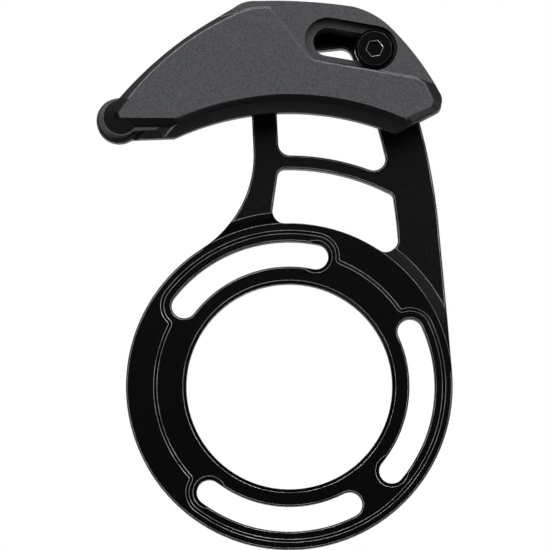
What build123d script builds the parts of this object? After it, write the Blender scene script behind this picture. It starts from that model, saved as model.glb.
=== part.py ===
"""Bicycle chain guide: a slotted backplate and a two-part chain cage that slides on it.

Millimetres. +Z is up, +X is right and -Y faces the viewer of the drive side, so +Y points at the
bicycle. The origin lies on the bottom-bracket axis, on the ring's rear, mounting face. Outlines are
drawn in X and Z. Heights count from the mounting face towards the viewer: height h is at Y = -h.
"""
import os
from math import atan2, cos, degrees, hypot, radians, sin, sqrt, tan

from build123d import *

# Backplate: the ring round the bottom bracket
PLATE_T = 4.2            # thickness of the ring and of the legs
RING_R = 34.45           # outer radius of the ring
BORE_R = 21.7            # radius of the hole for the bottom bracket
BORE_CHAMFER = 0.75
MOUNT_PCD = 56.0         # pitch circle of the frame's three mounting threads
SLOT_W = 5.3             # width of the mounting slots, for M5 screws
SLOT_BREAK = 0.3         # bevel on the slots' front edges
SLOT_SWEEP = 64.0        # degrees between the end centres of a slot
SLOT_STARTS = (78.5, 233.0, 320.5)  # degrees, the clockwise end of each slot
SLOT_SINK_R = 3.45       # countersink at the clockwise end of each slot
POCKET_DEPTH = 0.65      # recess for the screw heads, with a sloping side
POCKET_R = 27.95         # floor of that recess between the slots
POCKET_MARGIN = 1.65     # floor beside the slots
POCKET_BLEND_R = 1.15    # inward corners of its floor
EDGE_BREAK = 0.3         # bevel on the front edges of the plate

# Backplate: the legs, windows and bars
LEG_RISE = 2.0           # the legs stand this much nearer the viewer than the ring
RAMP_RUN = 2.2           # length of that step, along the radius
LEFT_LEG_OUT = 7.45      # outer edge of the left leg, from the axis, where it crosses the curved bar
LEFT_LEG_LEAN = 2.8      # degrees from upright
LEFT_LEG_W = 5.35
LEFT_FLARE_R = 23.0      # outer edge's curve into the ring
RIGHT_LEG_LEAN = 5.23    # degrees from upright, below its curve
RIGHT_LEG_RUN = 30.3     # straight part of the outer edge, above the ring
RIGHT_LEG_W = 8.8
BAR_R = 45.85            # inner radius of the curved bar between the windows
BAR_W = 2.8
WINDOW_LEAN = 8.2        # degrees, left side of the lower window
WINDOW_CORNER_R = 1.6    # upper corners of the lower window
WINDOW_FOOT_R = 2.5      # other corners
TOP_BAR_W = 3.7          # bar over the upper window, at its right end
TOP_BAR_RISE = 4.0       # degrees, its upper edge rises to the left
UPPER_WINDOW_RISE = 6.0  # degrees, its lower edge falls to the left
TOP_CORNER_R = 4.0
BOSS_R = 4.7             # round end of the right leg, about the clamp bolt

# Chain channel and cage, drawn about the bottom-bracket axis
CHANNEL_R = 67.5         # roof of the chain channel
CHANNEL_W = 9.8          # inside width for the chain
CAGE_DROP = 11.2         # lower edge of the outer half, below the channel's roof
INNER_TUCK = 1.05        # the inner half's lower edge lies this much higher
CAGE_TOP = 11.9          # upper edge above the channel's roof
INNER_T = 3.6            # wall of the inner half
RIM_T = 1.0              # outer wall at its rim
UPPER_T = 3.0            # outer wall at the upper face, round the clamp slot
FACE_RISE = 0.4          # raised face above the upper face
ROOF_FROM = 121.0        # degrees, ends of the channel's roof
ROOF_TO = 65.0

# Round nose, where the chain enters
NOSE_ANGLE = 122.5       # degrees about the bottom bracket
NOSE_DROP = 1.95         # its centre below the channel's roof
NOSE_R = 3.85
NOSE_TOP_R = 0.8         # upper end of its cone, inside the raised face
NOSE_TOP_SHIFT = 1.4     # that end from the nose's centre
NOSE_EDGE = 0.25         # flat round the foot of the cone
NOSE_BLEND_R = 1.5       # corners where the nose joins the cage
NECK_W = 5.96            # height of the cage where it meets the nose
INNER_NOSE_R = 4.75
INNER_NOSE_SHIFT = (-0.64, 0.34)  # inner nose from the outer one, in X and Z
INNER_NOSE_PROUD = 1.7   # stands into the channel
INNER_NOSE_ROUND = 1.0
INNER_FOOT_RISE = 0.75   # lower edge beside the inner nose, above the nose's foot
NOSE_GAP = 0.3           # room between the inner nose and the outer half
NOTCH_ANGLE = -36.0      # degrees about the inner nose, groove beside it
NOTCH_W = 0.9
NOTCH_L = 4.0
NOTCH_DEPTH = 2.0

# Edge of the cage: degrees about the bottom bracket, and share of CAGE_TOP above the channel's roof
BROW = (109.3, 0.542)
SHOULDER = (98.6, 0.95)
TOP_LEFT = (94.9, 1.03)
TOP_TO = 80.4
HIP = (74.4, 0.811)
TAIL_TOP = (62.7, 0.05)
TAIL_TIP = (61.3, -0.105)
TAIL_LOW = (61.5, -0.289)
TAIL_CORNER_R = 1.5
SHOULDER_BULGE = 0.5     # outward, from the straight line between two points
HIP_BULGE = 0.55
SLOPE_BULGE = 0.75
INNER_TAIL_TUCK = 1.25   # the inner half's tail ends this much higher

# Lip of the outer half, with a hollow front
LIP_FROM = 115.0         # degrees, ends of its lower edge
LIP_TO = 67.1
LIP_CORNER = 117.1       # degrees, its lower left corner
LIP_CORNER_RISE = 1.2    # that corner above the lower edge
LIP_END_LEAN = 54.5      # degrees, its slanted left end
LIP_EDGE = 0.15          # the lower edge stands this much above the rim
HOLLOW_H = 1.4           # rise of the hollow from that edge to the raised face
HOLLOW_SAG = 0.4
RIM_DROP = 2.58          # lower edge of the wall below the nose's centre
RIM_STEP = 0.9           # run from that edge down to the lip's corner

# Raised face, with sloping sides
FACE_LIFT = 3.35         # its lower edge above the lip's
FACE_LEFT = 113.6        # degrees, where that edge turns straight
FACE_RIGHT = 66.36       # degrees, its right end
FACE_TIP = 1.65          # its left end, past the nose's centre
FACE_BROW = (107.5, 0.534)
FACE_SHOULDER = (98.1, 0.857)
FACE_TOP_END = (92.9, 0.903)
FACE_TAIL = (62.05, -0.185)
FACE_STEP = 12.5         # its step down to the slot, from the bolt
FACE_END = 11.1          # its right end, past the bolt
FACE_SLOPE = 36.0        # degrees from the face's normal
FACE_BREAK = 0.25        # bevel on its edge
FACE_ROUNDS = (1.1, 4.0, 1.0, 1.6, 4.0, 3.6, 1.0)  # corners, from the left end anticlockwise
TAIL_LEDGE = 0.4         # width of the rim that shows along the tail's lower edge
CREASE_LEAN = 21.5       # degrees, fold in the upper face above the tail
CREASE_BACK = 1.0        # starts this far before the raised face's end
TAIL_FALL = 34.0         # degrees, slope below that fold
BROW_FALL = 18.0         # degrees, slope of the upper face down to the brow

# Clamp bolt and the slot that it slides in
BOLT_ANGLE = 75.65       # degrees, bolt position about the bottom bracket
BOLT_RISE = 4.25         # bolt axis above the channel's roof
BOLT_D = 5.0
BOLT_GAP = 0.45          # room round the bolt in the slot
HEAD_D = 8.2
HEAD_H = 3.0
HEAD_BREAK = 0.55        # bevel on the head
BOLT_SHY = 0.4           # the bolt's end stays this far inside the plate
HEAD_GAP = 0.65          # room round the head in its recess
HEX_AF = 3.0
HEX_DEPTH = 1.7
HEX_BREAK = 0.25         # bevel on the socket's mouth
HEX_TURN = 9.0           # degrees, where the tightened bolt stops
SLIDE_ANGLE = 9.8        # degrees, the slot falls to the right
SLIDE_TRAVEL = 10.0
FACE_GAP = 0.45          # room between the head and the raised face
THREAD_GAP = 0.05

# Slide key on the top bar
KEY_FROM_BOLT = 17.3
KEY_L = 5.4
KEY_W = 2.6
KEY_H = 1.5
KEY_GAP = 0.2

# Cage screws: degrees about the bottom bracket, and share of CAGE_TOP above the channel's roof
SCREWS = ((106.0, 0.328), (87.6, 0.731), (69.3, 0.218))
SCREW_D = 2.5
SCREW_L = 8.0
SCREW_HEAD_D = 4.4
SCREW_HEAD_H = 1.5
SCREW_GAP = 0.15
SCREW_RECESS = 0.2       # the heads lie this far below the back of the cage
SCREW_HEX_AF = 1.5
SCREW_HEX_DEPTH = 0.9

# Radii
LIP_R = CHANNEL_R - CAGE_DROP
FACE_LOW_R = LIP_R + FACE_LIFT

# Heights
LEG_TOP = LEG_RISE + PLATE_T
CHANNEL_IN = LEG_TOP + INNER_T
CHANNEL_OUT = CHANNEL_IN + CHANNEL_W
RIM_TOP = CHANNEL_OUT + RIM_T
UPPER_TOP = CHANNEL_OUT + UPPER_T
FACE_TOP = UPPER_TOP + FACE_RISE
FACE_ACROSS = -(HEAD_D / 2 + FACE_GAP)  # raised face's upper edge, from the slot's line
FAR = 200.0              # past everything, for cutting tools

AXIS = Axis((0, 0, 0), (0, -1, 0))


def polar(radius, angle):
    return Vector(radius * cos(radians(angle)), radius * sin(radians(angle)))


def prism(outline, low, high):
    """The outline, drawn in X and Z, between two heights."""
    return extrude(Plane.XZ.offset(low) * outline, high - low)


def turned(profile, start=0.0, sweep=360.0):
    """A profile drawn in radius and height, turned about the bottom-bracket axis."""
    plane = Plane((0, 0, 0), x_dir=(1, 0, 0), z_dir=(0, 0, -1))
    return revolve((plane * profile).rotate(AXIS, start), AXIS, sweep)


def slide(distance, across=0.0):
    """A point on the clamp slot's line, counted from the bolt to the upper left."""
    along = Vector(-cos(radians(SLIDE_ANGLE)), sin(radians(SLIDE_ANGLE)))
    up = Vector(sin(radians(SLIDE_ANGLE)), cos(radians(SLIDE_ANGLE)))
    return BOLT + along * distance + up * across


def run(first, last, width):
    """A round-ended slot along the slide, between two end centres."""
    middle = slide((first + last) / 2)
    return Pos(middle.X, middle.Y) * SlotCenterToCenter(last - first, width, rotation=-SLIDE_ANGLE)


BOLT = polar(CHANNEL_R + BOLT_RISE, BOLT_ANGLE)


def plate_outline():
    """Outer edge of the ring, legs and top bar, one closed wire of lines and tangent arcs."""
    # Left leg: a leaning line, curved into the ring
    lean = Vector(-sin(radians(LEFT_LEG_LEAN)), cos(radians(LEFT_LEG_LEAN)))
    side = Vector(-lean.Y, lean.X)
    knee = Vector(-LEFT_LEG_OUT, BAR_R + BAR_W / 2)
    start = knee + side * LEFT_FLARE_R
    back = start.dot(lean)
    flare = start + lean * (sqrt(back**2 - start.dot(start) + (RING_R + LEFT_FLARE_R) ** 2) - back)
    left_ring = flare.normalized() * RING_R
    left_leg = flare - side * LEFT_FLARE_R
    flare_mid = flare + ((left_ring + left_leg) / 2 - flare).normalized() * LEFT_FLARE_R
    # Right leg: a line tangent to the ring, then one arc that ends round the bolt
    out = polar(1, RIGHT_LEG_LEAN)
    right_ring = out * RING_R
    bend = right_ring + Vector(-out.Y, out.X) * RIGHT_LEG_RUN
    gap = bend - BOLT
    sweep_r = (BOSS_R**2 - gap.dot(gap)) / (2 * (BOSS_R - out.dot(gap)))
    sweep = bend - out * sweep_r
    boss_side = BOLT + (BOLT - sweep).normalized() * BOSS_R
    bend_mid = sweep + ((bend + boss_side) / 2 - sweep).normalized() * sweep_r
    # Top bar: a line tangent to the boss, down to the left leg
    boss_top = BOLT + polar(BOSS_R, 90 - TOP_BAR_RISE)
    boss_mid = BOLT + ((boss_side + boss_top) / 2 - BOLT).normalized() * BOSS_R
    slope = Vector(-cos(radians(TOP_BAR_RISE)), sin(radians(TOP_BAR_RISE)))
    reach = ((left_leg - boss_top).X * lean.Y - (left_leg - boss_top).Y * lean.X) / (
        slope.X * lean.Y - slope.Y * lean.X)
    corner = boss_top + slope * reach
    edges = [
        ThreePointArc(left_ring, polar(RING_R, 270), right_ring),
        Line(right_ring, bend),
        ThreePointArc(bend, bend_mid, boss_side),
        ThreePointArc(boss_side, boss_mid, boss_top),
        Line(boss_top, corner),
        Line(corner, left_leg),
        ThreePointArc(left_leg, flare_mid, left_ring),
    ]
    face = make_face(edges)
    face = fillet(face.vertices().sort_by_distance((corner.X, corner.Y, 0))[0], TOP_CORNER_R)
    return face, sweep, sweep_r, degrees(atan2(flare.Y, flare.X))


def windows(sweep, sweep_r):
    """The two openings between the legs, with rounded corners."""
    edge_z = BAR_R + BAR_W / 2
    edge_x = LEFT_LEG_W / cos(radians(LEFT_LEG_LEAN)) - LEFT_LEG_OUT
    right_of = Pos(sweep.X, sweep.Y) * Circle(sweep_r - RIGHT_LEG_W)
    foot_x = edge_x - tan(radians(WINDOW_LEAN)) * (edge_z - RING_R / 2)
    lower = make_face(Polyline(
        (foot_x, RING_R / 2), (edge_x, edge_z), (FAR, edge_z), (FAR, RING_R / 2), close=True))
    lower = (lower & right_of & Circle(BAR_R)) - Circle(RING_R)
    foot = lower.vertices().sort_by(lambda corner: hypot(corner.X, corner.Y))[:2]
    lower = fillet(foot, WINDOW_FOOT_R)
    lower = fillet(lower.vertices().sort_by(lambda corner: hypot(corner.X, corner.Y))[-2:], WINDOW_CORNER_R)
    roof = BOLT + Vector(-RIGHT_LEG_W, BOSS_R - TOP_BAR_W + RIGHT_LEG_W * tan(radians(TOP_BAR_RISE)))
    fall = tan(radians(UPPER_WINDOW_RISE))
    lean = tan(radians(LEFT_LEG_LEAN))
    top_x = edge_x - lean * (roof.Y - edge_z)
    upper = make_face(Polyline(
        (edge_x + lean * edge_z, 0), (top_x, roof.Y - fall * (roof.X - top_x)),
        (FAR, roof.Y + fall * (FAR - roof.X)), (FAR, 0), close=True))
    upper = (upper & right_of) - Circle(BAR_R + BAR_W)
    upper = fillet(upper.vertices(), WINDOW_FOOT_R)
    return lower, upper


def mounting_slots(width):
    """The three curved slots on the frame's pitch circle."""
    return [SlotArc(CenterArc((0, 0), MOUNT_PCD / 2, start, SLOT_SWEEP), width) for start in SLOT_STARTS]


def pocket_outline(grow):
    """Recess for the screw heads: a circle with lobes round the slots, grown by its side's slope."""
    pocket = Circle(POCKET_R + grow)
    lower_span = SLOT_STARTS[2] + SLOT_SWEEP - SLOT_STARTS[1]
    for start, span in ((SLOT_STARTS[0], SLOT_SWEEP), (SLOT_STARTS[1], lower_span)):
        lobe = CenterArc((0, 0), MOUNT_PCD / 2, start, span)
        pocket += SlotArc(lobe, SLOT_W + 2 * (POCKET_MARGIN + grow))
    inward = [v for v in pocket.vertices() if abs(hypot(v.X, v.Y) - POCKET_R - grow) < 0.01]
    return fillet(inward, POCKET_BLEND_R - grow)


def make_backplate():
    outline, sweep, sweep_r, left_end = plate_outline()
    plate = prism(outline, 0, LEG_TOP)
    for window in windows(sweep, sweep_r):
        plate -= prism(window, 0, LEG_TOP)
    plate = chamfer(plate.faces().sort_by(Axis.Y)[0].edges(), EDGE_BREAK)
    # The legs step forward from the ring by a ramp, in front and behind
    front = make_face(Polyline(
        (0, PLATE_T), (RING_R, PLATE_T), (RING_R + RAMP_RUN, LEG_TOP), (0, LEG_TOP), close=True))
    behind = make_face(Polyline(
        (RING_R, 0), (FAR, 0), (FAR, LEG_RISE), (RING_R + RAMP_RUN, LEG_RISE), close=True))
    plate -= turned(front)
    plate -= turned(behind)
    bevel = make_face(Polyline(
        (RING_R - EDGE_BREAK, PLATE_T), (RING_R + EDGE_BREAK, PLATE_T),
        (RING_R + EDGE_BREAK, PLATE_T - 2 * EDGE_BREAK), close=True))
    plate -= turned(bevel, left_end, 360 + RIGHT_LEG_LEAN - left_end)
    # Recess for the screw heads, with a sloping side, then the bore and the slots
    floor = PLATE_T - POCKET_DEPTH
    mouth = Plane.XZ.offset(PLATE_T) * pocket_outline(POCKET_DEPTH)
    plate -= loft([(Plane.XZ.offset(floor) * pocket_outline(0)).face(), mouth.face()], ruled=True)
    bore = make_face(Polyline(
        (0, 0), (BORE_R, 0), (BORE_R, floor - BORE_CHAMFER), (BORE_R + BORE_CHAMFER, floor),
        (0, floor), close=True))
    plate -= turned(bore)
    for slot, bevel in zip(mounting_slots(SLOT_W), mounting_slots(SLOT_W + 2 * SLOT_BREAK)):
        plate -= prism(slot, 0, floor)
        plate -= loft([(Plane.XZ.offset(floor - SLOT_BREAK) * slot).face(),
                       (Plane.XZ.offset(floor) * bevel).face()], ruled=True)
    tip = SLOT_W / 4
    for start in SLOT_STARTS:
        centre = polar(MOUNT_PCD / 2, start)
        sink = between(floor - SLOT_SINK_R + tip, Circle(tip), floor, Circle(SLOT_SINK_R))
        plate -= Pos(centre.X, 0, centre.Y) * sink
    # Slide key and the bolt's thread
    key = run(KEY_FROM_BOLT - (KEY_L - KEY_W) / 2, KEY_FROM_BOLT + (KEY_L - KEY_W) / 2, KEY_W)
    plate += prism(key, LEG_TOP, LEG_TOP + KEY_H)
    plate -= prism(Pos(BOLT.X, BOLT.Y) * Circle(BOLT_D / 2 + THREAD_GAP), 0, LEG_TOP)
    return plate


def cage_point(place, tuck=0.0):
    return polar(CHANNEL_R + place[1] * CAGE_TOP + tuck, place[0])


def bulged(first, last, bulge):
    """An arc between two points that bulges away from the bottom bracket."""
    middle = (first + last) / 2
    return ThreePointArc(first, middle + middle.normalized() * bulge, last)


NOSE = polar(CHANNEL_R - NOSE_DROP, NOSE_ANGLE)
INNER_NOSE = NOSE + Vector(*INNER_NOSE_SHIFT)
LIP_END = polar(LIP_R + LIP_CORNER_RISE, LIP_CORNER)


def cage_outline(low_r, tail_tuck, low_left):
    """Side view of a cage half, with its lower left points given, up to the round nose."""
    brow_end = NOSE + polar(NECK_W / 2, NOSE_ANGLE)
    top = CHANNEL_R + CAGE_TOP
    tail_low = cage_point(TAIL_LOW, tail_tuck)
    low = [polar(low_r, LIP_FROM), *low_left, NOSE - Vector(0, NECK_W / 2), brow_end]
    edges = [
        ThreePointArc(brow_end, cage_point(BROW), cage_point(SHOULDER)),
        bulged(cage_point(SHOULDER), cage_point(TOP_LEFT), SHOULDER_BULGE),
        ThreePointArc(cage_point(TOP_LEFT), polar(top, (TOP_LEFT[0] + TOP_TO) / 2), polar(top, TOP_TO)),
        bulged(polar(top, TOP_TO), cage_point(HIP), HIP_BULGE),
        bulged(cage_point(HIP), cage_point(TAIL_TOP), SLOPE_BULGE),
        ThreePointArc(cage_point(TAIL_TOP), cage_point(TAIL_TIP), tail_low),
        Line(tail_low, polar(low_r, LIP_TO)),
        ThreePointArc(polar(low_r, LIP_TO), polar(low_r, (LIP_TO + LIP_FROM) / 2), low[0]),
    ]
    edges += [Line(a, b) for a, b in zip(low, low[1:])]
    outline = make_face(edges)
    return fillet(outline.vertices().sort_by_distance((tail_low.X, tail_low.Y, 0))[0], TAIL_CORNER_R)


def with_nose(outline, centre, radius):
    """Join a round nose, with blended corners."""
    nosed = outline + Pos(centre.X, centre.Y) * Circle(radius)
    corners = [v for v in nosed.vertices() if abs((Vector(v.X, v.Y) - centre).length - radius) < 0.01]
    return fillet(corners, NOSE_BLEND_R)


def face_outline():
    """The raised face that sweeps from the nose to the tail."""
    left = polar(FACE_LOW_R, FACE_LEFT)
    right = polar(FACE_LOW_R, FACE_RIGHT)
    tail = cage_point(FACE_TAIL)
    end = slide(-FACE_END, FACE_ACROSS)
    step = slide(FACE_STEP, FACE_ACROSS)
    top = cage_point(FACE_TOP_END)
    shoulder = cage_point(FACE_SHOULDER)
    tip = Vector(NOSE.X - FACE_TIP, left.Y)
    brow = ThreePointArc(tip, cage_point(FACE_BROW), shoulder)
    edges = [
        Line(tip, left),
        ThreePointArc(left, polar(FACE_LOW_R, (FACE_LEFT + FACE_RIGHT) / 2), right),
        Line(right, tail),
        Line(tail, end),
        Line(end, step),
        Line(step, top),
        TangentArc(shoulder, top, tangent=brow % 1),
        brow,
    ]
    face = make_face(edges)
    for corner, radius in zip((tip, left, right, tail, end, step, top), FACE_ROUNDS):
        face = fillet(face.vertices().sort_by_distance((corner.X, corner.Y, 0))[0], radius)
    return face


def between(low, low_outline, high, high_outline):
    """A solid with straight sides between two outlines at two heights."""
    return loft([(Plane.XZ.offset(low) * low_outline).face(), (Plane.XZ.offset(high) * high_outline).face()],
                ruled=True)


def raised_face(face):
    """The raised face on its sloping sides, with a bevelled edge."""
    brim = FACE_TOP - FACE_BREAK
    foot = offset(face, (brim - CHANNEL_OUT) * tan(radians(FACE_SLOPE)))
    return between(CHANNEL_OUT, foot, brim, face) + between(brim, face, FACE_TOP, offset(face, -FACE_BREAK))


def lip_end(grow):
    """Everything to the right of the lip's slanted left end, moved outward."""
    up = polar(1, LIP_END_LEAN)
    left = LIP_END + Vector(-up.Y, up.X) * grow
    return make_face(Polyline(left - up * FAR, left + Vector(FAR, -FAR), left + up * FAR, close=True))


def make_lip():
    """The lip's hollow curve, from its lower edge up to the raised face."""
    edge = (LIP_R, RIM_TOP + LIP_EDGE)
    crest = (FACE_LOW_R, RIM_TOP + LIP_EDGE + HOLLOW_H)
    below = LIP_R - RIM_T
    hollow = make_face([
        Line((below, CHANNEL_OUT), (below, edge[1])),
        Line((below, edge[1]), edge),
        SagittaArc(edge, crest, -HOLLOW_SAG),
        Line(crest, (FACE_LOW_R, CHANNEL_OUT)),
        Line((FACE_LOW_R, CHANNEL_OUT), (below, CHANNEL_OUT))])
    lip = turned(hollow, TAIL_LOW[0], LIP_CORNER + LIP_END_LEAN / 2 - TAIL_LOW[0])
    return lip & between(CHANNEL_OUT, lip_end(RIM_TOP - CHANNEL_OUT), FACE_TOP, lip_end(RIM_TOP - FACE_TOP))


def tail_ledge():
    """Strip along the tail's lower edge, outside the lip, where the rim shows."""
    corner = polar(LIP_R, LIP_TO)
    along = (cage_point(TAIL_LOW) - corner).normalized()
    inward = Vector(-along.Y, along.X)
    start = corner + inward * TAIL_LEDGE
    strip = make_face(Polyline(
        start, start + along * FAR, start + along * FAR - inward * FAR, start - inward * FAR, close=True))
    return strip - Circle(FACE_LOW_R)


def fold(start, fall, slope):
    """Cutter that folds the upper face down to the rim, from a line through a point."""
    side = Plane((start.X, 0, start.Y), x_dir=(fall.X, 0, fall.Y), z_dir=(-fall.Y, 0, fall.X))
    run_out = (UPPER_TOP - RIM_TOP) / tan(radians(slope))
    wedge = make_face(Polyline(
        (0, UPPER_TOP), (run_out, RIM_TOP), (FAR, RIM_TOP), (FAR, FACE_TOP), (0, FACE_TOP), close=True))
    return side * mirror(wedge, Plane.XZ)


def make_upper(outline):
    """The upper face round the slot and the crown, folded down above the tail and along the brow."""
    region = outline - Circle((FACE_LOW_R + CHANNEL_R) / 2)
    tail = fold(slide(CREASE_BACK - FACE_END, FACE_ACROSS), polar(1, -90 - CREASE_LEAN), TAIL_FALL)
    shoulder = cage_point(SHOULDER)
    brow = fold(shoulder, (cage_point(BROW) - shoulder).normalized(), BROW_FALL)
    return prism(region, CHANNEL_OUT, UPPER_TOP) - extrude(tail, FAR) - extrude(brow, FAR, both=True)


def nose_cone():
    """Cone from the nose's edge up to the left end of the raised face."""
    low_z = polar(FACE_LOW_R, FACE_LEFT).Y
    foot = Pos(NOSE.X, NOSE.Y) * Circle(NOSE_R - NOSE_EDGE)
    top = Pos(NOSE.X + NOSE_TOP_SHIFT, low_z + FACE_ROUNDS[0]) * Circle(NOSE_TOP_R)
    return between(RIM_TOP, foot, FACE_TOP - FACE_BREAK, top)


def make_outer_cage():
    rim = Vector(LIP_END.X - RIM_STEP, NOSE.Y - RIM_DROP)
    outline = with_nose(cage_outline(LIP_R, 0, [LIP_END, rim]), NOSE, NOSE_R)
    face = face_outline()
    limits = prism(outline, CHANNEL_OUT, FACE_TOP)
    # Outer wall, and the channel's roof behind it
    sector = make_face(Polyline((0, 0), polar(FAR, ROOF_TO), polar(FAR, ROOF_FROM), close=True))
    roof = (outline & sector) - Circle(CHANNEL_R)
    roof -= Pos(INNER_NOSE.X, INNER_NOSE.Y) * Circle(INNER_NOSE_R + NOSE_GAP)
    cage = prism(outline, CHANNEL_OUT, RIM_TOP) + prism(roof, CHANNEL_IN, CHANNEL_OUT)
    cage += make_upper(outline)
    cage += make_lip() & limits
    cage += raised_face(face) & limits
    cage += nose_cone()
    cage -= prism(tail_ledge(), RIM_TOP, FACE_TOP)
    # Recess for the bolt's head, slot and screw holes
    seat = UPPER_TOP - HEAD_H
    cage -= prism(run(0, SLIDE_TRAVEL, HEAD_D + 2 * HEAD_GAP) - face, seat, FACE_TOP)
    cage -= prism(run(0, SLIDE_TRAVEL, BOLT_D + 2 * BOLT_GAP), CHANNEL_IN, FACE_TOP)
    for place in SCREWS:
        at = cage_point(place)
        cage -= prism(Pos(at.X, at.Y) * Circle(SCREW_D / 2), CHANNEL_IN, CHANNEL_IN + SCREW_L)
    return cage


def make_inner_cage():
    low_r = LIP_R + INNER_TUCK
    foot = INNER_NOSE + Vector(NOSE_BLEND_R, INNER_FOOT_RISE - INNER_NOSE_R)
    outline = with_nose(cage_outline(low_r, INNER_TAIL_TUCK, [foot]), INNER_NOSE, INNER_NOSE_R)
    cage = prism(outline, LEG_TOP, CHANNEL_IN)
    nose = prism(Circle(INNER_NOSE_R - NOSE_EDGE), LEG_TOP, CHANNEL_IN + INNER_NOSE_PROUD)
    nose = fillet(nose.faces().sort_by(Axis.Y)[0].edges(), INNER_NOSE_ROUND)
    cage += Pos(INNER_NOSE.X, 0, INNER_NOSE.Y) * nose
    # Groove beside the nose, slot, keyway and screw holes
    groove = Rot(0, 0, NOTCH_ANGLE) * Pos(INNER_NOSE_R + NOTCH_W / 2, 0) * Rectangle(NOTCH_W, NOTCH_L)
    cage -= prism(Pos(INNER_NOSE.X, INNER_NOSE.Y) * groove, CHANNEL_IN - NOTCH_DEPTH, CHANNEL_IN)
    cage -= prism(run(0, SLIDE_TRAVEL, BOLT_D + 2 * BOLT_GAP), LEG_TOP, CHANNEL_IN)
    half = (KEY_L - KEY_W) / 2 + KEY_GAP
    keyway = run(KEY_FROM_BOLT - half, KEY_FROM_BOLT + half + SLIDE_TRAVEL, KEY_W + 2 * KEY_GAP)
    cage -= prism(keyway, LEG_TOP, LEG_TOP + KEY_H + KEY_GAP)
    sink = SCREW_RECESS + SCREW_HEAD_H
    for place in SCREWS:
        at = cage_point(place)
        cage -= prism(Pos(at.X, at.Y) * Circle(SCREW_D / 2 + SCREW_GAP), LEG_TOP, CHANNEL_IN)
        cage -= prism(Pos(at.X, at.Y) * Circle(SCREW_HEAD_D / 2 + SCREW_GAP), LEG_TOP, LEG_TOP + sink)
    return cage


def make_clamp_bolt():
    seat = UPPER_TOP - HEAD_H
    bolt = prism(Circle(HEAD_D / 2), seat, UPPER_TOP)
    bolt = chamfer(bolt.faces().sort_by(Axis.Y)[0].edges(), HEAD_BREAK)
    bolt += prism(Circle(BOLT_D / 2), LEG_RISE + BOLT_SHY, seat)
    socket = RegularPolygon(HEX_AF / 2, 6, major_radius=False, rotation=HEX_TURN)
    mouth = RegularPolygon(HEX_AF / 2 + HEX_BREAK, 6, major_radius=False, rotation=HEX_TURN)
    bolt -= prism(socket, UPPER_TOP - HEX_DEPTH, UPPER_TOP)
    bolt -= between(UPPER_TOP - HEX_BREAK, socket, UPPER_TOP, mouth)
    return Pos(BOLT.X, 0, BOLT.Y) * bolt


def make_cage_screws():
    low = LEG_TOP + SCREW_RECESS
    screw = prism(Circle(SCREW_HEAD_D / 2), low, low + SCREW_HEAD_H)
    screw += prism(Circle(SCREW_D / 2), low + SCREW_HEAD_H, low + SCREW_HEAD_H + SCREW_L)
    screw -= prism(RegularPolygon(SCREW_HEX_AF / 2, 6, major_radius=False), low, low + SCREW_HEX_DEPTH)
    places = [cage_point(place) for place in SCREWS]
    return Compound(children=[Pos(at.X, 0, at.Y) * screw for at in places])


PARTS = {
    "backplate": make_backplate,
    "outer_cage": make_outer_cage,
    "inner_cage": make_inner_cage,
    "clamp_bolt": make_clamp_bolt,
    "cage_screws": make_cage_screws,
}

if __name__ == "__main__":
    os.makedirs("parts", exist_ok=True)
    for name, make in PARTS.items():
        export_step(make(), f"parts/{name}.step")
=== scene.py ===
# %% [markdown]
# # Bicycle chain guide
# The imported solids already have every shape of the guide, so this lesson keeps them and gives each
# one a finish: black anodised aluminium, dark moulded plastic and black steel. Lengths are metres,
# and the frame is the solids' own: the bottom-bracket axis runs along Y, the chain cage is up, and
# -Y faces the viewer.

# %% Load the frame
from math import cos, radians, sin

import bpy
from mathutils import Matrix, Vector

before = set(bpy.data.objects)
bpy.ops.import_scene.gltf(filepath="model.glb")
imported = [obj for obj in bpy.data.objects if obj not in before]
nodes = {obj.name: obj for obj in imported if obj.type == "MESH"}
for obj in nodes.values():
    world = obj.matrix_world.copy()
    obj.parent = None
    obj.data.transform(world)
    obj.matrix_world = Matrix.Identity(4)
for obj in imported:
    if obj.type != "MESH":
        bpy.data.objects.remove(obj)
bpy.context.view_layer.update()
MM = 0.001
for name, node in nodes.items():
    print(f"solid {name}: {len(node.data.polygons)} faces")

# %% [markdown]
# ## One node at a time
# A finish is a graph of nodes. It could be drawn by hand in the shader editor, but a script draws
# the same one each time. `add` makes one node: an input is linked where it is given another node's
# socket, and set where it is given a plain value. `blank` starts a material with Blender's general
# shader. `wire` links what varies to that shader and sets its gloss, which is the same all over.

# %% One node at a time
def add(tree, kind, inputs=None, **settings):
    node = tree.nodes.new(kind)
    for name, value in settings.items():
        setattr(node, name, value)
    for key, value in (inputs or {}).items():
        if isinstance(value, bpy.types.NodeSocket):
            tree.links.new(value, node.inputs[key])
        else:
            node.inputs[key].default_value = value
    return node


def blank(name):
    material = bpy.data.materials.new(name)
    material.use_nodes = True
    shader = material.node_tree.nodes["Principled BSDF"]
    return material, material.node_tree, shader


def wire(tree, shader, gloss, sources):
    for name, socket in sources.items():
        tree.links.new(socket, shader.inputs[name])
    shader.inputs["Specular IOR Level"].default_value = gloss


def made(material):
    print(f"finish {material.name}: {len(material.node_tree.nodes)} nodes")
    return material


print("helpers for nodes: add, blank, wire, made")

# %% [markdown]
# ## Sums
# A mask such as "near an edge" is a number from 0 to 1, so masks are made and joined with
# arithmetic nodes. A colour ramp could make them too, but `remap` shows its limits in the call.

# %% Sums
def calc(tree, operation, first, second):
    inputs = {0: first, 1: second}
    return add(tree, "ShaderNodeMath", inputs, operation=operation).outputs[0]


def product(tree, first, *others):
    for other in others:
        first = calc(tree, "MULTIPLY", first, other)
    return first


def larger(tree, first, second):
    return calc(tree, "MAXIMUM", first, second)


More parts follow.
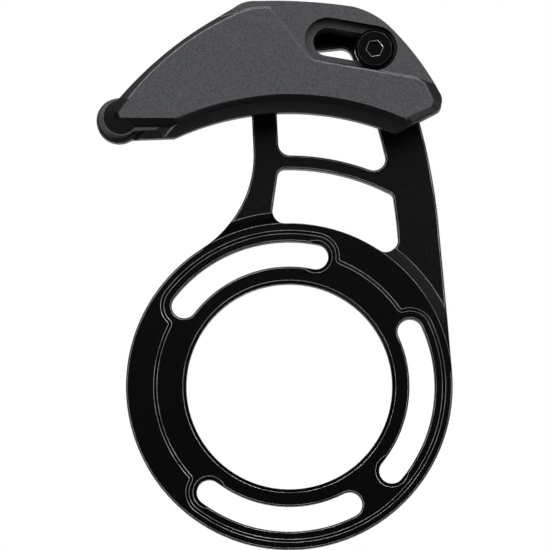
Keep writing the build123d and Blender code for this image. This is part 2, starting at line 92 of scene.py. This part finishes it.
def remap(tree, value, low, high, to_low=0.0, to_high=1.0):
    """The run from low to high, stretched to another run and cut off at both ends."""
    limits = {"From Min": low, "From Max": high, "To Min": to_low, "To Max": to_high}
    return add(tree, "ShaderNodeMapRange", {"Value": value, **limits}).outputs["Result"]


print("helpers for masks: calc, product, larger, remap")

# %% [markdown]
# ## Colours and mixes
# All the colours here are greys with a trace of blue, as black dye and black plastic have. Two
# colours, or two numbers, are mixed by a mask.

# %% Colours and mixes
def grey(value, tint=0.0):
    return (value * (1 - tint / 2), value, value * (1 + tint), 1.0)


def mix(tree, fac, first, second):
    """Mix of two colours."""
    node = add(tree, "ShaderNodeMix", {"Factor": fac}, data_type="RGBA")
    for key, value in (("A", first), ("B", second)):
        socket = next(s for s in node.inputs if s.name == key and s.type == "RGBA")
        if isinstance(value, bpy.types.NodeSocket):
            tree.links.new(value, socket)
        else:
            socket.default_value = value
    return next(s for s in node.outputs if s.type == "RGBA")


def blend(tree, fac, first, second):
    """Mix of two numbers."""
    inputs = {"Factor": fac, "A": first, "B": second}
    return add(tree, "ShaderNodeMix", inputs, data_type="FLOAT").outputs[0]


bluish = ", ".join(f"{value:.4f}" for value in grey(0.06, 0.05))
print("a dark grey with a trace of blue:", bluish)

# %% [markdown]
# ## Where a point lies
# A finish changes from place to place: ring or legs, face or hollow. A painted map could say where,
# but the solids have no map of their surface. So a point's place in the object's coordinates, the
# direction that its face looks in and its distance from an axis say it.

# %% Where a point lies
BRACKET_AXIS = (0, 0, 0)
LEFT, RIGHT = (-1, 0, 0), (1, 0, 0)
TO_VIEWER = (0, -1, 0)
DOWN = (0, 0, -1)
ACROSS_Y = (1, 0, 1)


def place_on_object(tree):
    return add(tree, "ShaderNodeTexCoord").outputs["Object"]


def vector(tree, operation, *inputs):
    """Outputs of one sum on vectors."""
    return add(tree, "ShaderNodeVectorMath", dict(enumerate(inputs)), operation=operation).outputs


def dot(tree, first, second):
    return vector(tree, "DOT_PRODUCT", first, second)["Value"]


def face_normal(tree):
    return add(tree, "ShaderNodeNewGeometry").outputs["True Normal"]


def looks(tree, way):
    """How far a face looks along a direction: 1 is straight along it, 0 across it."""
    return dot(tree, face_normal(tree), way)


def flat_distance(tree, place, centre):
    """Distance from an axis along Y through a point."""
    away = vector(tree, "SUBTRACT", place, centre)[0]
    flat = vector(tree, "MULTIPLY", away, ACROSS_Y)[0]
    return vector(tree, "LENGTH", flat)["Value"]


print("helpers for places: place_on_object, vector, dot, face_normal, looks, flat_distance")

# %% [markdown]
# ## Rounded edges
# No machined or moulded edge is perfectly sharp, and a rounded edge is what catches the light.
# Bevelling the mesh would change the solids, so the Bevel node gives the normal that a small
# rounding would have. Where it differs from the face's own normal, an edge is near, so their dot
# product also says where wear and a painted edge highlight belong. The painted highlight goes on
# chamfers and slopes, which turn by about 45 degrees: the middle of their rounding turns by half of
# that. A square edge turns further, which a second and wider rounding notices, and stays dark.

# %% Rounded edges
FLAT = 0.995
BLUNT = (0.86, 0.91)
BEVEL_SAMPLES = 8


def bevelled(tree, radius):
    """The normal with every sharp edge rounded, and its dot product with the face's own normal."""
    bevel = add(tree, "ShaderNodeBevel", {"Radius": radius}, samples=BEVEL_SAMPLES)
    soft = bevel.outputs["Normal"]
    return soft, dot(tree, soft, face_normal(tree))


def rounded(tree, radius, full):
    """The normal with every sharp edge rounded, and how near a blunt edge a point lies, 0 to 1.

    It is 1 where the rounded normal has turned to the dot product that full gives.
    """
    soft, turn = bevelled(tree, radius)
    _, wide_turn = bevelled(tree, 2 * radius)
    blunt = remap(tree, wide_turn, *BLUNT)
    return soft, product(tree, remap(tree, turn, FLAT, full), blunt)


print("a wide rounding that turns further than a dot product of", BLUNT[0], "is a square edge")

# %% [markdown]
# ## Grain
# Blasted metal, a spark-eroded mould and blackened steel all leave a fine grain. An image could
# hold it, but noise has no seams and its size is given in millimetres. The same noise drives the
# roughness and the bump, and the colour where the grain shows in it.

# %% Grain
MOST_NOISE = (0.3, 0.7)


def noise(tree, place, size, detail=2.0):
    """Noise from 0 to 1 whose blobs are about size metres across."""
    inputs = {"Vector": place, "Scale": 1 / size, "Detail": detail}
    return add(tree, "ShaderNodeTexNoise", inputs).outputs["Fac"]


def bump(tree, height, normal, depth):
    inputs = {"Height": height, "Normal": normal, "Distance": depth}
    return add(tree, "ShaderNodeBump", inputs).outputs["Normal"]


print("most of the noise lies between", *MOST_NOISE)

# %% [markdown]
# ## Black anodised aluminium: the dye
# The plate is milled and dyed black. The ring is cut smooth, to lie flat under its screws, and the
# legs above it keep a fine blasted grain, which scatters a little more light. Two materials would
# need the faces sorted, and one with a mask does both, because the real plate is one piece.

# %% Plate dye
RING_RIM = 35.5 * MM
LEG_BLEND = 1 * MM
SMOOTH_DYE = (grey(0.0006, 0.1), grey(0.003, 0.1))
BLASTED_DYE = (grey(0.002, 0.1), grey(0.011, 0.08))


def plate_dye(tree, place, grain):
    from_axis = flat_distance(tree, place, BRACKET_AXIS)
    on_legs = remap(tree, from_axis, RING_RIM, RING_RIM + LEG_BLEND)
    smooth = mix(tree, remap(tree, grain, 0.4, 0.75), *SMOOTH_DYE)
    blasted = mix(tree, remap(tree, grain, 0.35, 0.75), *BLASTED_DYE)
    return mix(tree, on_legs, smooth, blasted)


print(f"smooth ring: {RING_RIM / MM} mm round the bottom-bracket axis")

# %% [markdown]
# ## Black anodised aluminium: the finish
# The flats are almost black, and what shows the plate's shape is a thin bright line along each
# chamfer. It is partly dye worn off, and partly a painted highlight where a chamfer would catch the
# lamps. So the dye gives way to a pale, partly metallic colour at the edges, unevenly.

# %% Plate finish
PLATE_EDGE = 0.12 * MM
PLATE_PATCH = 6 * MM
PLATE_GRAIN = 0.22 * MM
PLATE_PITS = 0.006 * MM
PLATE_GLOSS = 0.05
PLATE_ROUGH = (0.24, 0.34)
BARE_METAL_AND_HIGHLIGHT = grey(0.9, 0.02)
METAL_SHARE = 0.4


def anodised():
    material, tree, shader = blank("anodised_plate")
    place = place_on_object(tree)
    normal, edge = rounded(tree, PLATE_EDGE, full=0.98)
    patchy = remap(tree, noise(tree, place, PLATE_PATCH), 0.35, 0.6, 0.4, 1.0)
    # Pale edges: dye worn off, with a painted highlight on the chamfers.
    wear_and_highlight = product(tree, edge, patchy)
    grain = noise(tree, place, PLATE_GRAIN, detail=3.0)
    wire(tree, shader, PLATE_GLOSS, {
        "Base Color": mix(tree, wear_and_highlight, plate_dye(tree, place, grain), BARE_METAL_AND_HIGHLIGHT),
        "Metallic": product(tree, wear_and_highlight, METAL_SHARE),
        "Roughness": remap(tree, grain, *MOST_NOISE, *PLATE_ROUGH),
        "Normal": bump(tree, grain, normal, PLATE_PITS),
    })
    return material


plate_finish = made(anodised())

# %% [markdown]
# ## Moulded plastic: where the grain is
# Both halves of the cage are moulded from the same dark plastic. The mould is spark-eroded where it
# makes the faces that show, and polished elsewhere, so the sloping sides, the hollow of the lip and
# the nose's cone come out smooth. Two materials on one mesh would need its faces sorted, so masks
# do it: how far a face turns from the viewer, how far it looks down, and its place on the cage.
# The grained part is also the grey part, so the sides that turn away or look down are painted
# darker: partly a smoother finish, partly painted shade.

# %% Where the mould is grained
NOSE = Vector((-35.22, 0, 55.28)) * MM
NOSE_REACH = 3.9 * MM
STEP = 0.05 * MM
DOWN_LEFT = (-0.5, 0, -0.87)


def off_nose(tree, place):
    return remap(tree, flat_distance(tree, place, NOSE), NOSE_REACH, NOSE_REACH + STEP)


def grained_part(tree, facing, past_nose, above_lip):
    """Where the mould leaves its grain, from 0 to 1."""
    # Faces turned from the viewer or looking down and to the left get no grey grain: painted shade.
    front = remap(tree, facing, 0.56, 0.72)
    not_shaded_below = remap(tree, looks(tree, DOWN_LEFT), 0.5, 0.6, 1.0, 0.0)
    not_cone = larger(tree, past_nose, remap(tree, facing, 0.92, 0.95))
    # Below the lip's top only faces turned left are grey: painted light on the lip's end.
    turned_left = remap(tree, looks(tree, LEFT), 0.45, 0.5)
    on_cage = larger(tree, above_lip, turned_left)
    return product(tree, front, not_shaded_below, not_cone, on_cage)


nose_from_axis = NOSE.length / MM
print(f"smooth nose: {NOSE_REACH / MM} mm round a point {nose_from_axis:.1f} mm from the axis")

# %% [markdown]
# ## Moulded plastic: colours
# The grain makes the faces grey and speckled, with faint clouds. The smooth sides are nearly black,
# with painted shade that deepens as a side turns from the viewer and is darkest in the hollows that
# look down. One grey for all of it would leave it to the lamps to tell the faces from the hollows,
# so the hollows get their own painted shade.

# %% Moulded colours
SIDE = grey(0.016, 0.06)
HOLLOW_SHADE = (grey(0.004, 0.06), grey(0.014, 0.06))
CLOUD = 8 * MM
FACE = (grey(0.059, 0.05), grey(0.07, 0.05))
SPECK = grey(0.122, 0.05)


def smooth_sides_and_shade(tree, facing):
    # Painted shade: darker as a side turns from the viewer, darkest where it looks down.
    hollow_shade = mix(tree, remap(tree, facing, 0.5, 1.0), *HOLLOW_SHADE)
    below = remap(tree, looks(tree, DOWN), -0.2, 0.3)
    return mix(tree, below, SIDE, hollow_shade)


def grained_faces(tree, place, grain):
    clouds = mix(tree, noise(tree, place, CLOUD, detail=5.0), *FACE)
    return mix(tree, remap(tree, grain, 0.35, 0.65), clouds, SPECK)


print(f"a speck of grain is {SPECK[1] / FACE[0][1]:.1f} times as light as the face round it")

# %% [markdown]
# ## Moulded plastic: scuffs and painted highlights
# Edges that look up or to the left are made lighter and smoother: partly wear, partly a painted
# highlight where the lamps above and on the left would catch them. The end of the lip, which looks
# left, gets a painted highlight as well. Which edges shine follows the photograph. They could be
# left to the lamps alone; the wear part is really paler under any lamp, the painted highlight is
# not.

# %% Moulded scuffs
SCUFF_PATCH = 2.5 * MM
LIP_EDGES = 0.15
LIP_END_HIGHLIGHT = 0.2


def edge_scuffs_and_highlights(tree, place, normal, above_lip):
    """How far an edge is scuffed, by its place and the way it looks, from 0 to 1."""
    patchy = remap(tree, noise(tree, place, SCUFF_PATCH), 0.3, 0.65, 0.5, 1.0)
    # Painted highlight: edges that look right or down get none, as the lamps are above and on the
    # left.
    turned_from_lamps = larger(tree, dot(tree, normal, RIGHT), dot(tree, normal, DOWN))
    toward_lamps = remap(tree, turned_from_lamps, 0.12, 0.28, 1.0, 0.0)
    on_face = remap(tree, above_lip, 0.0, 1.0, LIP_EDGES, 1.0)
    return product(tree, patchy, toward_lamps, on_face)


def lip_end_highlight(tree, grained, above_lip):
    # A painted highlight on the lip's end, which looks left.
    return product(tree, grained, remap(tree, above_lip, 0.0, 1.0, LIP_END_HIGHLIGHT, 0.0))


# Shares of the pale colour: lip edges get wear and painted highlight, the lip's end painted
# highlight.
print(f"scuffs: edges of the lip {LIP_EDGES} of those of the face, end of the lip {LIP_END_HIGHLIGHT}")

# %% [markdown]
# ## Moulded plastic: the finish
# The outer half's grained faces begin above its lip, at the raised face's lower edge, and its
# underside is duller than its other sides. The inner half has no lip, so all of its front is
# grained. One function with these two values makes both finishes.

# %% Moulded finish
LIP_TOP = 59.6 * MM
NO_LIP = 0.0
SATIN, DULL = 0.3, 0.45
FACE_ROUGH = (0.5, 0.66)
MOULDED_EDGE = 0.15 * MM
MOULDED_GRAIN = 0.22 * MM
MOULDED_PITS = 0.02 * MM
MOULDED_GLOSS = 0.05
PALE_SCUFF_AND_HIGHLIGHT = grey(0.55, 0.04)


def moulded_roughness(tree, grain, grained, scuffed_and_lit, underside):
    faces = remap(tree, grain, *MOST_NOISE, *FACE_ROUGH)
    sides = remap(tree, looks(tree, DOWN), 0.7, 0.9, SATIN, underside)
    return blend(tree, scuffed_and_lit, blend(tree, grained, sides, faces), SATIN)


def moulded(name, lip_top, underside):
    """Grained faces further than lip_top from the bottom-bracket axis, and smooth sides.

    The last value is the roughness of what looks down.
    """
    material, tree, shader = blank(name)
    place = place_on_object(tree)
    normal, edge = rounded(tree, MOULDED_EDGE, full=0.98)
    facing = looks(tree, TO_VIEWER)
    past_nose = off_nose(tree, place)
    from_axis = flat_distance(tree, place, BRACKET_AXIS)
    above_lip = remap(tree, from_axis, lip_top, lip_top + STEP)
    grained = grained_part(tree, facing, past_nose, above_lip)
    grain = noise(tree, place, MOULDED_GRAIN, detail=4.0)
    # Grey grained faces, and smooth sides with painted shade.
    tone = mix(tree, grained, smooth_sides_and_shade(tree, facing), grained_faces(tree, place, grain))
    # Edge wear with a painted highlight, and the painted highlight on the lip's end.
    edge_wear_and_highlight = product(tree, edge, past_nose, edge_scuffs_and_highlights(tree, place, normal, above_lip))
    scuffed_and_lit = larger(tree, edge_wear_and_highlight, lip_end_highlight(tree, grained, above_lip))
    wire(tree, shader, MOULDED_GLOSS, {
        "Base Color": mix(tree, scuffed_and_lit, tone, PALE_SCUFF_AND_HIGHLIGHT),
        "Roughness": moulded_roughness(tree, grain, grained, scuffed_and_lit, underside),
        "Normal": bump(tree, product(tree, grain, grained), normal, MOULDED_PITS),
    })
    return material


outer_finish = made(moulded("outer_plastic", LIP_TOP, DULL))
inner_finish = made(moulded("inner_plastic", NO_LIP, SATIN))

# %% [markdown]
# ## Black steel: the bolt's head
# The bolt and the screws are blackened steel. The key rubs the bevel at the bolt's socket bright,
# and the edge round the head is a little paler: both are partly wear and partly a painted glint.
# The wear and glint need to know where the head is, which could be typed in, but is measured on the
# bolt so that it follows the solid.

# %% Measure the bolt's head
def head_middle(node):
    """Middle of the front of a round piece along Y."""
    corners = [Vector(corner) for corner in node.bound_box]
    middle = sum(corners, Vector()) / len(corners)
    middle.y = min(corner.y for corner in corners)
    return middle


bolt_head = head_middle(nodes["clamp_bolt"])
print("bolt head, mm:", ", ".join(f"{value / MM:.2f}" for value in bolt_head))

# %% [markdown]
# ## Black steel: where it is rubbed, with a painted glint
# The oxide is rubbed through to bare steel only on the bevel of the socket's mouth, between two
# depths below the head's front, and thinly along the head's edge; the pale colour there is also a
# painted glint. The faces of the socket could be picked out of the mesh, but depth, tilt and
# distance from the bolt's axis find them without it.

# %% Where the steel is rubbed
HEX_REACH = 2.1 * MM
RUBBED_FROM, RUBBED_TO = 0.08 * MM, 0.3 * MM
RUBBED_STEP = 0.04 * MM
HEAD_RIM = 2.6 * MM
RIM_STEP = 0.1 * MM
RIM_WEAR_AND_GLINT = 0.5


def socket_mouth(tree, place, away, head):
    deep = add(tree, "ShaderNodeSeparateXYZ", {0: place}).outputs["Y"]
    top, end = head.y + RUBBED_FROM, head.y + RUBBED_TO
    below_top = remap(tree, deep, top, top + RUBBED_STEP)
    above_end = remap(tree, deep, end, end - RUBBED_STEP)
    tilted = remap(tree, looks(tree, TO_VIEWER), 0.9, 0.8)
    near = remap(tree, away, HEX_REACH, HEX_REACH - STEP)
    return product(tree, below_top, above_end, tilted, near)


def head_rim(tree, away):
    return remap(tree, away, HEAD_RIM, HEAD_RIM + RIM_STEP, 0.0, RIM_WEAR_AND_GLINT)


print(f"rubbed bevel: {RUBBED_FROM / MM} to {RUBBED_TO / MM} mm below the head's front")

# %% [markdown]
# ## Black steel: the finish
# Black oxide is thin and even, with a faint cloudiness. The screws are rubbed, with a painted
# glint, along their edges alone, so for them the head's place is the bottom-bracket axis, which is
# far from all of them.

# %% Steel finish
STEEL_EDGE = 0.1 * MM
STEEL_PATCH = 0.8 * MM
OXIDE_CLOUD = 2 * MM
STEEL_GRAIN = 0.1 * MM
STEEL_PITS = 0.004 * MM
STEEL_GLOSS = 0.03
STEEL_ROUGH = (0.2, 0.3)
OXIDE = (grey(0.0015, 0.1), grey(0.0025, 0.1))
BARE_STEEL_AND_GLINT = grey(0.6, 0.02)
STEEL_SHARE = 0.85


def black_steel(name, head):
    """Blackened steel, worn at the mouth of a socket and along the edge of a head."""
    material, tree, shader = blank(name)
    place = place_on_object(tree)
    normal, edge = rounded(tree, STEEL_EDGE, full=0.95)
    away = flat_distance(tree, place, head)
    on_rim = product(tree, edge, head_rim(tree, away))
    # Bare steel and a painted glint at the socket's mouth and along the head's edge.
    rubbed = larger(tree, socket_mouth(tree, place, away, head), on_rim)
    patchy = remap(tree, noise(tree, place, STEEL_PATCH), 0.35, 0.6, 0.2, 1.0)
    wear_and_highlight = product(tree, rubbed, patchy)
    oxide = mix(tree, noise(tree, place, OXIDE_CLOUD, detail=4.0), *OXIDE)
    grain = noise(tree, place, STEEL_GRAIN)
    wire(tree, shader, STEEL_GLOSS, {
        "Base Color": mix(tree, wear_and_highlight, oxide, BARE_STEEL_AND_GLINT),
        "Metallic": product(tree, wear_and_highlight, STEEL_SHARE),
        "Roughness": remap(tree, grain, *MOST_NOISE, *STEEL_ROUGH),
        "Normal": bump(tree, grain, normal, STEEL_PITS),
    })
    return material


bolt_finish = made(black_steel("bolt_steel", bolt_head))
screw_finish = made(black_steel("screw_steel", Vector(BRACKET_AXIS)))

# %% [markdown]
# ## Giving each solid its finish
# Each solid is one kind of piece, of one material, so its mesh has one slot. Slots could be filled
# by hand in the editor, but the list below shows them all at a glance.

# %% Give each solid its finish
finishes = {
    "backplate": plate_finish,
    "outer_cage": outer_finish,
    "inner_cage": inner_finish,
    "clamp_bolt": bolt_finish,
    "cage_screws": screw_finish,
}
for name, finish in finishes.items():
    mesh = nodes[name].data
    mesh.materials.clear()
    mesh.materials.append(finish)
    print(f"{name}: {finish.name}")

# %% [markdown]
# ## Floor
# The guide is screwed to a bicycle in use, so it stands clear of the floor. The camera looks up at
# it a little, so the floor lies below the camera. A floor lit white would throw its own light on
# the guide, so only the camera sees it pale, and mirrors see it faintly: part of that tone is the
# lit surface, which keeps the shadow. Further out it fades to white, as a studio's paper sweep
# does, so that no edge shows.

# %% Floor
FLOOR_Z = -0.5
FLOOR_WIDTH = 6.0
FLOOR_FADE = (0.5, 2.5)
FLOOR_GLOW = 0.6
FLOOR_MIRRORED = 0.13
FLOOR_LIT, FLOOR_DIM = grey(0.9), grey(0.25)
WHITE = grey(1.0)


def seen(tree, mirrored):
    """1 for rays that come from the camera or through glass, and a share of 1 for mirror rays."""
    path = add(tree, "ShaderNodeLightPath").outputs
    direct = larger(tree, path["Is Camera Ray"], path["Is Transmission Ray"])
    return larger(tree, direct, product(tree, path["Is Glossy Ray"], mirrored))


def mix_shaders(tree, fac, first, second):
    inputs = {0: fac, 1: first.outputs[0], 2: second.outputs[0]}
    return add(tree, "ShaderNodeMixShader", inputs)


def pale_floor():
    material, tree, shader = blank("pale_floor")
    tree.nodes.remove(shader)
    lit = add(tree, "ShaderNodeBsdfDiffuse", {"Color": FLOOR_LIT})
    dim = add(tree, "ShaderNodeBsdfDiffuse", {"Color": FLOOR_DIM})
    white = add(tree, "ShaderNodeEmission", {"Color": WHITE, "Strength": 1.0})
    out = vector(tree, "LENGTH", place_on_object(tree))["Value"]
    pale = mix_shaders(tree, remap(tree, out, *FLOOR_FADE, FLOOR_GLOW, 1.0), lit, white)
    both = mix_shaders(tree, seen(tree, FLOOR_MIRRORED), dim, pale)
    tree.links.new(both.outputs[0], tree.nodes["Material Output"].inputs["Surface"])
    return material


bpy.ops.mesh.primitive_plane_add(size=FLOOR_WIDTH, location=(0, 0, FLOOR_Z))
floor = bpy.context.object
floor.name = "floor"
floor.data.materials.append(made(pale_floor()))
print(f"floor: {floor.dimensions.x:.0f} m wide, {-FLOOR_Z:.1f} m below the axis")

# %% [markdown]
# ## Background
# The photograph's background is white. A wall lit white would light the guide as well. So camera
# rays see a white studio, and mirror rays see it behind the guide, where the slopes and rounded
# edges reflect it, while the light that the studio itself gives stays plain.

# %% Background
SOFT_LIGHT = 0.06
BEHIND = (0.5, 0.8)

world = bpy.data.worlds.new("studio")
bpy.context.scene.world = world
world.use_nodes = True
studio = world.node_tree
light = studio.nodes["Background"]
light.inputs["Color"].default_value = WHITE
light.inputs["Strength"].default_value = SOFT_LIGHT
white = add(studio, "ShaderNodeBackground", {"Color": WHITE, "Strength": 1.0})
way = add(studio, "ShaderNodeTexCoord").outputs["Generated"]
way_back = add(studio, "ShaderNodeSeparateXYZ", {0: way}).outputs["Y"]
both = mix_shaders(studio, seen(studio, remap(studio, way_back, *BEHIND)), light, white)
studio.links.new(both.outputs[0], studio.nodes["World Output"].inputs["Surface"])
print(f"studio: white to the camera, soft light {SOFT_LIGHT}")

# %% [markdown]
# ## Lamps
# A large soft lamp in front lights the faces, one behind lights the back, and one close above
# lights what looks up. The small ones at the sides and below hardly reach the faces: each is where
# a sloping side mirrors it to the camera, so the slopes and rounded edges stand out from the black.

# %% Lamps
AIM = Vector((0, 0, 30 * MM))


def lamp(name, place, width, height, power):
    data = bpy.data.lights.new(name, "AREA")
    data.shape = "RECTANGLE"
    data.size = width
    data.size_y = height
    data.energy = power
    obj = bpy.data.objects.new(name, data)
    obj.location = place
    to_guide = AIM - Vector(place)
    obj.rotation_euler = to_guide.to_track_quat("-Z", "Y").to_euler()
    bpy.context.scene.collection.objects.link(obj)
    print(f"lamp {name}: {power} W at {to_guide.length:.2f} m")


lamp("front", (0.2, -0.95, 0.55), width=1.5, height=0.8, power=11.3)
lamp("back", (0.15, 0.95, 0.45), width=0.8, height=0.6, power=12.0)
lamp("top_edge", (0.0, -0.1, 0.7), width=0.25, height=0.25, power=3.0)
lamp("left_edge", (-0.4, 0.03, 0.6), width=0.1, height=0.4, power=0.4)
lamp("right_edge", (0.5, 0.15, 0.0), width=0.25, height=0.25, power=0.3)
lamp("low_right", (0.3, 0.14, -0.35), width=0.3, height=0.3, power=1.0)
lamp("low_left", (-0.35, -0.08, -0.32), width=0.15, height=0.45, power=0.9)

# %% [markdown]
# ## Camera
# The photograph looks along +Y and a little upwards, from far away. The bottom-bracket axis meets
# the ring's front face at a known pixel, and one pixel there is a known length. Both together place
# the camera, which could be moved by eye, but would then be a little off.

# %% Camera
PIXELS = 550
PIXEL = 0.2107 * MM
AXIS_PIXEL = (289.35, 386.05)
LOOK_UP = radians(4.5)
DISTANCE = 1.4
RING_FRONT = Vector((0, -4.2 * MM, 0))
SENSOR = 36.0
FAR_CLIP = 20.0

forward = Vector((0, cos(LOOK_UP), sin(LOOK_UP)))
right = Vector(RIGHT)
up = right.cross(forward)
aside = (AXIS_PIXEL[0] - PIXELS / 2) * PIXEL
below = (AXIS_PIXEL[1] - PIXELS / 2) * PIXEL
target = RING_FRONT - right * aside + up * below
camera_data = bpy.data.cameras.new("camera")
camera_data.sensor_width = SENSOR
camera_data.lens = SENSOR * DISTANCE / (PIXELS * PIXEL)
camera_data.clip_end = FAR_CLIP
camera = bpy.data.objects.new("camera", camera_data)
turn = Matrix((right, up, -forward)).transposed().to_4x4()
camera.matrix_world = Matrix.Translation(target - forward * DISTANCE) @ turn
bpy.context.scene.collection.objects.link(camera)
bpy.context.scene.camera = camera
bpy.context.scene.view_settings.view_transform = "Standard"
print(f"camera: lens {camera_data.lens:.1f} mm, {-camera.location.z / MM:.0f} mm below the axis")
